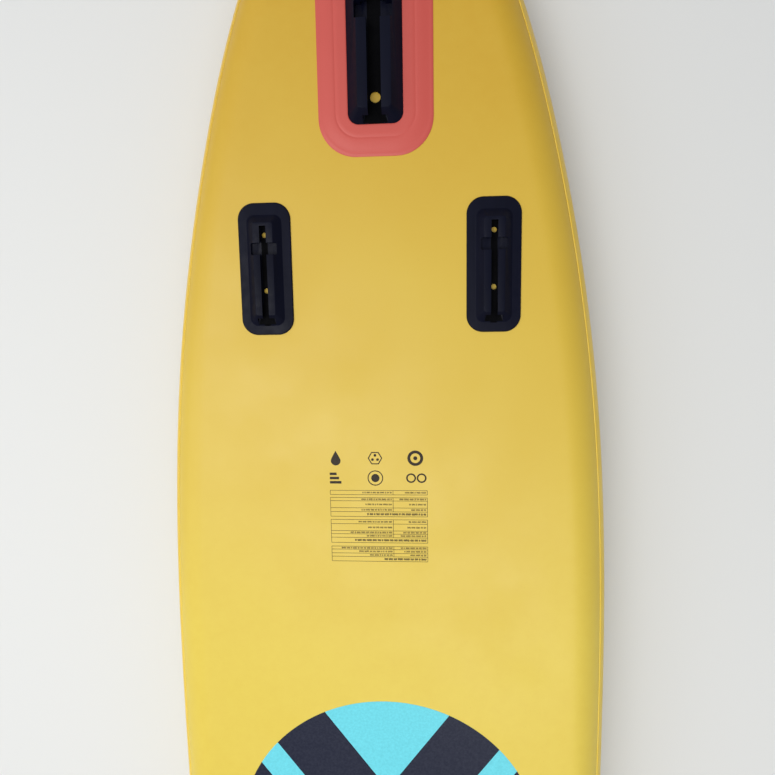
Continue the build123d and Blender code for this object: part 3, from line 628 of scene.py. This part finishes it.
def rail_strip(name, stations, inset, thickness, reach, steps=12):
    """A strip of tape round the rail, along a run of outline points, as a closed thin solid."""
    profiles = []
    for layer, lip in ((inset, 0.55 * thickness), (inset + thickness, 0.0)):
        arc = rail_section(layer, reach, steps, lip)
        profiles.append([(d, rise, layer, 1) for d, rise in arc] + [(d, -rise, layer, -1) for d, rise in arc[::-1]])
    loop = profiles[0] + profiles[1][::-1]
    verts = []
    for index in stations:
        point, inward = OUTLINE[index % len(OUTLINE)], INWARD[index % len(OUTLINE)]
        centres = {
            (layer, side): float(rail_centre(point[1], inward[1], layer, side)[0])
            for layer in (inset, inset + thickness)
            for side in (1, -1)
        }
        for d, rise, layer, side in loop:
            x, y = point + inward * d
            verts.append((x, y, centres[layer, side] + rise))
    size = len(loop)
    faces = grid_faces(len(stations), size, wrap_columns=True)
    faces.append(tuple(range(size)))
    faces.append(tuple((len(stations) - 1) * size + k for k in range(size)))
    return sharpen(mesh_object(name, verts, faces), 50)


def outline_run(side, reach_x):
    """Outline points down one side, between the places where the tape joints begin."""
    count = len(OUTLINE)
    run = [i for i in range(-count // 2, count // 2 + 1) if OUTLINE[i % count][0] * side > reach_x]
    return sorted(run, key=lambda i: OUTLINE[i % count][1])


def outline_end(tail, reach_x):
    """Outline points round the tail or the nose, within reach_x of the centre line."""
    count = len(OUTLINE)
    end = 1 if tail else -1
    run = [i for i in range(count) if abs(OUTLINE[i][0]) < reach_x and OUTLINE[i][1] * end > 0]
    return sorted(run, key=lambda i: OUTLINE[i][0])


for side, word in ((-1, "left"), (1, "right")):
    tape = rail_strip(f"{word}_rail_band", outline_run(side, SEAM_HALF - TAPE_LAP), 0.0, SHEET, TAPE_REACH)
    put(tape, "board", "rail_fabric", RAIL_YELLOW, f"{word}_rail_tape")
    wall = rail_strip(f"{word}_wall", outline_run(side, 0.001), SHEET + LOOSE, SHEET, WALL_LAP)
    put(wall, "board", "side_fabric", YELLOW, f"{word}_sidewall")


def rail_bead(name, stations, side):
    """A thin raised bead along the inner edge of the rail tape, coloured very pale as a painted highlight."""
    d = TAPE_REACH + 0.0004
    rise = math.sqrt((RAIL_RADIUS - SHEET) ** 2 - (RAIL_RADIUS - d) ** 2)
    path = []
    for index in stations:
        point, inward = OUTLINE[index % len(OUTLINE)], INWARD[index % len(OUTLINE)]
        centre = float(rail_centre(point[1], inward[1], SHEET, side)[0])
        path.append((*(point + inward * d), centre + side * rise))
    return tube(name, path, 0.00085, 8, closed=False)


for side, word in ((-1, "left"), (1, "right")):
    for face, where in ((1, "bottom"), (-1, "deck")):
        bead = rail_bead(f"{word}_rail_highlight_bead_{where}", outline_run(side, SEAM_HALF - TAPE_LAP), face)
        put(bead, "board", "rail_fabric", PAINTED_HIGHLIGHT_YELLOW)

for tail, word in ((False, "nose"), (True, "tail")):
    patch = rail_strip(f"{word}_joint_patch", outline_end(tail, SEAM_HALF), -0.0005, 0.0008, TAPE_REACH + 0.004)
    put(patch, "board", "rail_fabric", RAIL_YELLOW, f"{word}_seam_patch")


# --- Fin boxes and the centre patch ---------------------------------------------------------------
def paint_recess_shade(obj, x, y, slot, groove, nose, tail, top):
    """Gives the faces down in a fin box's slot and groove a rough, unpolished surface and a colour darker than the
    rest of the box, which is painted shade.
    """
    obj.data.materials.append(PAINTED_RECESS_SHADE)
    seat = TO_BOARD @ obj.matrix_world
    back = seat.inverted()
    # Cut the faces along the slot's two sides, so that the floor of the notch beside it gets no painted shade
    bm = bmesh.new()
    bm.from_mesh(obj.data)
    for side in (-1, 1):
        bmesh.ops.bisect_plane(
            bm,
            geom=bm.verts[:] + bm.edges[:] + bm.faces[:],
            dist=1e-6,
            plane_co=back @ Vector((x + side * (slot / 2 + CUT_OFFSET), y, 0.0)),
            plane_no=back.to_3x3() @ Vector((1.0, 0.0, 0.0)),
        )
    bm.to_mesh(obj.data)
    bm.free()

    def down_inside(corner):
        across, along = abs(corner.x - x), corner.y - y
        in_slot = across < slot / 2 + CUT_PLAY
        in_groove = across < groove / 2 + CUT_PLAY and corner.z < THICKNESS - SHEET + top
        return nose < along < tail and (in_slot or in_groove)

    for face in obj.data.polygons:
        if all(down_inside(seat @ obj.data.vertices[k].co) for k in face.vertices):
            face.material_index = 1


# Slot width, groove width, nose end, tail end and height of the groove's roof
SIDE_RECESS = (0.0103, 0.029, -0.0935, 0.0698, 0.0125)
CENTRE_RECESS = (0.021, 0.039, -0.126, 0.0983, 0.0155)
for word, x, y, recess in (
    ("left", -SIDE_BOX_PLACE[0], SIDE_BOX_PLACE[1], SIDE_RECESS),
    ("right", SIDE_BOX_PLACE[0], SIDE_BOX_PLACE[1], SIDE_RECESS),
    ("centre", 0.0, CENTRE_BOX_Y, CENTRE_RECESS),
):
    moulding = refined(f"{word}_fin_box", 0.0008, 3)
    put(moulding, "board", "fin_box_plastic", BLACK)
    paint_recess_shade(moulding, x, y, *recess)


def rounded_rectangle(width, length, corner, steps=14):
    """Points round a rounded rectangle, the same number for every size."""
    points = []
    for quarter in range(4):
        sx = 1 if quarter in (0, 3) else -1
        sy = 1 if quarter in (0, 1) else -1
        centre = (sx * (width / 2 - corner), sy * (length / 2 - corner))
        for k in range(steps + 1):
            a = math.pi / 2 * (quarter + k / steps)
            points.append((centre[0] + corner * math.cos(a), centre[1] + corner * math.sin(a)))
    return np.array(points)


def centre_patch():
    """The coral patch: glued flat, then drawn up over the hidden flange to the edge of the window."""
    rings = []
    outer_w, outer_l, outer_r = CENTRE_PATCH
    mid_w, mid_l, mid_r = CENTRE_FLANGE
    in_w, in_l, in_r = CENTRE_WINDOW

    def ring(width, length, corner, height):
        points = rounded_rectangle(width, length, corner)
        rings.append([(x, CENTRE_BOX_Y + y, THICKNESS - SHEET + height) for x, y in points])

    top = FLANGE + PATCH_SHEET
    ring(outer_w, outer_l, outer_r, 0.0)
    ring(outer_w, outer_l, outer_r, PATCH_SHEET * 0.7)
    ring(outer_w - 0.0006, outer_l - 0.0006, outer_r - 0.0003, PATCH_SHEET)
    blend_out, blend_in = 0.0205, 0.0020
    for k in range(9):
        t = k / 8
        grow = 2 * (blend_out * (1 - t) - blend_in * t)
        rise = PATCH_SHEET + FLANGE * math.sin(t * math.pi / 2) ** 1.25
        ring(mid_w + grow, mid_l + grow, mid_r + grow / 2, rise)
    for inset, sink in ((0.0028, 0.0003), (0.0036, 0.0003), (0.0044, 0.0)):  # the pressed line inside the step
        ring(mid_w - 2 * inset, mid_l - 2 * inset, mid_r - inset, top - sink)
    for t in (0.3, 0.6, 0.85):
        w = (mid_w - 0.0088) * (1 - t) + in_w * t
        l = (mid_l - 0.0088) * (1 - t) + in_l * t
        r = (mid_r - 0.0044) * (1 - t) + in_r * t
        ring(w, l, r, top)
    ring(in_w + 0.001, in_l + 0.001, in_r + 0.0005, top)
    ring(in_w + 0.0001, in_l + 0.0001, in_r, top - 0.0004)
    ring(in_w + 0.0001, in_l + 0.0001, in_r, FLANGE)
    size = len(rings[0])
    verts = [p for r in rings for p in r]
    return sharpen(mesh_object("centre_patch", verts, grid_faces(len(rings), size, wrap_columns=True)), 50)


put(centre_patch(), "board", "coral_fabric", CORAL, "centre_fin_patch")


# --- Print on the bottom --------------------------------------------------------------------------
def print_layer(name, loops, material, low, high, cell=0.02):
    """Flat shapes in X and Y, closed loops, laid on the bottom skin as thin solids."""
    bm = bmesh.new()
    for loop in loops:
        bm.faces.new([bm.verts.new((float(x), float(y), 0.0)) for x, y in loop])
    bmesh.ops.recalc_face_normals(bm, faces=bm.faces)
    reach = [v.co.copy() for v in bm.verts]
    y_low, y_high = min(v.y for v in reach), max(v.y for v in reach)
    x_low, x_high = min(v.x for v in reach), max(v.x for v in reach)
    for axis, start, end in (((0, 1, 0), y_low, y_high), ((1, 0, 0), x_low, x_high)):
        for at in np.arange(start + cell, end, cell):
            place = [at * a for a in axis]
            bmesh.ops.bisect_plane(bm, geom=bm.verts[:] + bm.edges[:] + bm.faces[:], plane_co=place, plane_no=axis)
    for face in bm.faces:
        if face.normal.z < 0:
            face.normal_flip()
    seat = THICKNESS - SHEET
    for vert in bm.verts:
        vert.co.z = float(rocker(vert.co.y, seat)) + low
    top = bmesh.ops.extrude_face_region(bm, geom=bm.faces[:])
    lifted = [v for v in top["geom"] if isinstance(v, bmesh.types.BMVert)]
    bmesh.ops.translate(bm, verts=lifted, vec=(0, 0, high - low))
    bmesh.ops.recalc_face_normals(bm, faces=bm.faces)
    mesh = bpy.data.meshes.new(name)
    bm.to_mesh(mesh)
    bm.free()
    mesh.transform(BOARD)
    obj = bpy.data.objects.new(name, mesh)
    bpy.context.scene.collection.objects.link(obj)
    sharpen(obj, 40)
    return put(obj, "board", "bottom_fabric", material)


def disc_loop(radius, x, y, count=96, start=0.0):
    """Points round a circle, anticlockwise."""
    return [
        (x + radius * math.cos(a), y + radius * math.sin(a))
        for a in (start + 2 * math.pi * k / count for k in range(count))
    ]


def clip_to_disc(loop, radius, y_centre, margin=0.0):
    """A convex loop cut down to the part inside a disc on the centre line."""
    edge = disc_loop(radius - margin, 0.0, y_centre, 180)
    out = list(loop)
    for (ax, ay), (bx, by) in zip(edge, edge[1:] + edge[:1]):
        kept = []
        for (px, py), (qx, qy) in zip(out, out[1:] + out[:1]):
            p_in = (bx - ax) * (py - ay) - (by - ay) * (px - ax)
            q_in = (bx - ax) * (qy - ay) - (by - ay) * (qx - ax)
            if p_in >= 0:
                kept.append((px, py))
            if p_in * q_in < 0:
                t = p_in / (p_in - q_in)
                kept.append((px + t * (qx - px), py + t * (qy - py)))
        out = kept
    return out


# A turquoise disc with plain navy chevrons
print_layer("print_disc", [disc_loop(DISC_RADIUS, 0.0, DISC_Y)], TURQUOISE, 0.0, PRINT)
chevrons = []
for tip, arm in ((0.103, 0.138), (-0.165, 0.06)):
    for side in (-1, 1):
        lean, wide = 0.375 * side, arm * side
        low, high = DISC_Y + tip, DISC_Y + tip + 0.5
        bar = [(0.0, low), (0.0, low - arm / 0.75), (lean + wide, high), (lean, high)]
        bar = bar if side > 0 else bar[::-1]
        bar = clip_to_disc(bar, DISC_RADIUS, DISC_Y)
        if len(bar) > 2:
            chevrons.append(bar)
print_layer("print_chevrons", chevrons, NAVY, PRINT + 0.00002, PRINT + 0.00012)


def rectangle(x0, y0, x1, y1):
    return [(x0, y0), (x1, y0), (x1, y1), (x0, y1)]


def ring_pieces(x, y, outer, inner, pieces=24):
    """A flat ring, as wedges."""
    out = []
    for k in range(pieces):
        a, b = 2 * math.pi * k / pieces, 2 * math.pi * (k + 1) / pieces
        ring = [(outer, a), (outer, b), (inner, b), (inner, a)]
        out.append([(x + r * math.cos(t), y + r * math.sin(t)) for r, t in ring])
    return out


def greeked_line(x, stop, y, tall, bold=False):
    """A line of small strokes in groups, like text seen from too far to read."""
    ink = []
    stroke, gap = (0.0011, 0.0004) if bold else (0.0007, 0.00045)
    while x > stop:
        for _ in range(random.randint(2, 7)):
            low, high = random.uniform(0.36, 0.5), random.uniform(0.36, 0.5)
            ink.append(rectangle(x - stroke, y - tall * low, x, y + tall * high))
            x -= stroke + gap
        x -= 0.0013
    return ink


def information_label():
    """A generic information panel: four ruled tables of dashes."""
    ink = []
    left, right, split = -0.091, 0.077, 0.018
    rule = 0.0007
    tables = (
        (0.5820, (0.0077,)),
        (0.5691, (0.0058, 0.0125, 0.0070, 0.0086)),
        (0.5296, (0.0077, 0.0125, 0.0058, 0.0065, 0.0093)),
        (0.4810, (0.0055, 0.0070, 0.0062, 0.0085)),
    )
    for number, (top, rows) in enumerate(tables):
        bottom = top - sum(rows)
        lines = [top]
        for height in rows:
            lines.append(lines[-1] - height)
        for y in lines:
            ink.append(rectangle(left, y - rule / 2, right, y + rule / 2))
        for x in (left, right):
            ink.append(rectangle(x - rule / 2, bottom, x + rule / 2, top))
        foot = lines[-2] if number else bottom
        ink.append(rectangle(split - rule / 2, foot, split + rule / 2, top))
        for row, (y0, y1) in enumerate(zip(lines, lines[1:])):
            middle, heading = (y0 + y1) / 2, number > 0 and row == len(rows) - 1
            tall = 0.0042 if heading else 0.0033
            cells = [(left, right)] if heading else [(left, split), (split, right)]
            for x0, x1 in cells:
                stop = x1 - (x1 - x0) * random.uniform(0.35, 0.8)
                ink += greeked_line(x1 - 0.0025, stop, middle, tall, heading)
    return ink


def label_symbols():
    """Six plain symbols that stand for no particular mark."""
    ink = []
    for row, y in enumerate((0.639, 0.604)):
        for column, x in enumerate((-0.080, -0.012, 0.057)):
            if (row, column) == (0, 0):  # drop
                round_part = disc_loop(0.0084, x, y - 0.0045, 25, math.radians(150))[:18]
                ink.append([*round_part, (x, y + 0.013)])
            elif (row, column) == (0, 1):  # hexagon with three dots
                for k in range(6):
                    a, b = math.pi / 3 * k, math.pi / 3 * (k + 1)
                    ring = [(0.0125, a), (0.0125, b), (0.0105, b), (0.0105, a)]
                    ink.append([(x + r * math.cos(t), y + r * math.sin(t)) for r, t in ring])
                for k in range(3):
                    a = math.pi / 2 + 2 * math.pi / 3 * k
                    ink.append(disc_loop(0.0024, x + 0.005 * math.cos(a), y + 0.005 * math.sin(a), 16))
            elif (row, column) == (0, 2):  # ring with a dot
                ink += ring_pieces(x, y, 0.0135, 0.0085)
                ink.append(disc_loop(0.0035, x, y, 20))
            elif (row, column) == (1, 0):  # three bars
                for k in range(3):
                    foot = 0.0075 * k
                    ink.append(rectangle(x - 0.011, y - 0.010 + foot, x + 0.009 - 0.004 * k, y - 0.0055 + foot))
            elif (row, column) == (1, 1):  # disc with a ring
                ink += ring_pieces(x, y, 0.0135, 0.0118)
                ink.append(disc_loop(0.0072, x, y, 28))
            else:  # two rings
                ink += ring_pieces(x - 0.0075, y, 0.0085, 0.0058, 18)
                ink += ring_pieces(x + 0.0105, y, 0.0085, 0.0058, 18)
    return ink


print_layer("print_label", information_label() + label_symbols(), LABEL_INK, 0.00001, 0.00012, 0.05)


# --- Fittings on both sides -----------------------------------------------------------------------
for node, bevel, body, slot, material in (
    ("tow_ring_patch", 0.0003, "board", "coral_fabric", CORAL),
    ("tow_ring_loop", 0.0003, "board", "webbing", WEBBING),
    ("leash_ring_patch", 0.0003, "board", "coral_fabric", CORAL),
    ("leash_ring_loop", 0.0003, "board", "webbing", WEBBING),
    ("handle_patches", 0.0003, "board", "coral_fabric", CORAL),
    ("carry_handle_strap", 0.0004, "board", "webbing", CROSS_WEBBING),
    ("mast_base_patch", 0.0003, "board", "coral_fabric", CORAL),
    ("mast_base", 0.001, "board", "fitting_plastic", FITTING),
    ("mast_base_insert", 0.0002, "board", "insert_brass", BRASS),
    ("valve_body", 0.0003, "board", "fitting_plastic", FITTING),
    ("valve_gasket", 0.0, "board", "seal_rubber", RUBBER),
    ("valve_nut", 0.0004, "board", "fitting_plastic", FITTING),
    ("valve_flap", 0.0002, "valve_flap", "seal_rubber", RUBBER),
    ("valve_stem", 0.0002, "valve_stem", "valve_white", WHITE),
    ("valve_cap", 0.0005, "valve_cap", "fitting_plastic", FITTING),
    ("valve_cap_seal", 0.0002, "valve_cap_seal", "seal_rubber", RUBBER),
    ("cargo_patches", 0.0003, "board", "coral_fabric", CORAL),
    ("cargo_posts", 0.0005, "board", "fitting_plastic", FITTING),
):
    put(refined(node, bevel), body, slot, material)

for node, material in (
    ("drop_stitch_threads", THREAD),
    ("cargo_bungee", BUNGEE),
    ("tow_ring", STEEL),
    ("leash_ring", STEEL),
):
    plain = frame["nodes"][node]
    plain.data.materials.clear()
    plain.data.materials.append(material)

# The spring shortens as the valve is pushed in, and its inner end stays put; here it only gets a mesh of its own
spring = put(refined("valve_spring", 0.0), "board", "ring_steel", STEEL)
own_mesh(spring)

for node, corner, slot, material in (
    ("deck_pad_front", PAD_CORNER, "deck_foam", FOAM),
    ("deck_pad_centre", PAD_CORNER, "deck_foam", FOAM),
    ("deck_pad_rear", PAD_CORNER, "deck_foam", FOAM),
    ("kick_pad", PAD_CORNER, "deck_foam", KICK_FOAM),
    ("carry_handle_grip", 0.0, "grip_sleeve", NEOPRENE),
):
    put(refined(node, 0.0014, 3, corner=corner), "board", slot, material)


# --- Camera, light and floor ----------------------------------------------------------------------
def photo_camera():
    """The camera stands 1 m over the tail half of the bottom and looks almost straight down."""
    data = bpy.data.cameras.new("camera")
    data.sensor_width = 36.0
    data.lens = 27.871
    data.clip_start, data.clip_end = 0.05, 60
    camera = bpy.data.objects.new("camera", data)
    turn = (
        Matrix.Rotation(math.radians(-0.95), 4, "Z")
        @ Matrix.Rotation(math.radians(3.93), 4, "Y")
        @ Matrix.Rotation(math.radians(-7.54), 4, "X")
    )
    camera.matrix_world = BOARD @ Matrix.Translation((0.0824, 0.8924, THICKNESS - SHEET + 0.9993)) @ turn
    bpy.context.scene.collection.objects.link(camera)
    bpy.context.scene.camera = camera


def soft_light(name, place, size, power, colour=(1.0, 1.0, 1.0), target=(0.0, 0.6, 0.1)):
    data = bpy.data.lights.new(name, "AREA")
    data.shape = "RECTANGLE"
    data.size, data.size_y = size
    data.energy = power
    data.color = colour
    lamp = bpy.data.objects.new(name, data)
    lamp.location = place
    lamp.rotation_euler = (Vector(target) - Vector(place)).to_track_quat("-Z", "Y").to_euler()
    bpy.context.scene.collection.objects.link(lamp)


def studio():
    """Soft light from above, a pale sky and a pale floor."""
    photo_camera()
    soft_light("key", (-0.5, -0.1, 3.3), (4.4, 1.3), 70, (1.0, 0.99, 0.96), (-0.1, 0.35, 0.1))
    soft_light("fill", (-3.2, 0.4, 2.2), (2.4, 2.4), 20, (0.93, 0.96, 1.0))
    sky = bpy.data.lights.new("sky", "SUN")
    sky.energy, sky.angle = 0.62, math.radians(80)
    lamp = bpy.data.objects.new("sky", sky)
    lamp.rotation_euler = (math.radians(-22), math.radians(-26), 0)
    bpy.context.scene.collection.objects.link(lamp)
    world = bpy.data.worlds.new("studio")
    world.use_nodes = True
    world.node_tree.nodes["Background"].inputs["Color"].default_value = (0.9, 0.94, 1.0, 1.0)
    world.node_tree.nodes["Background"].inputs["Strength"].default_value = 0.4
    bpy.context.scene.world = world
    bpy.ops.mesh.primitive_plane_add(size=160, location=(0, 0, -0.0003))
    floor = bpy.context.object
    floor.name = "floor"
    paint = Surface("floor_pale", 0.9)
    paint.bsdf.inputs["Base Color"].default_value = srgb(226, 226, 224)
    floor.data.materials.append(paint.material)
    bpy.context.scene.view_settings.view_transform = "Standard"


studio()
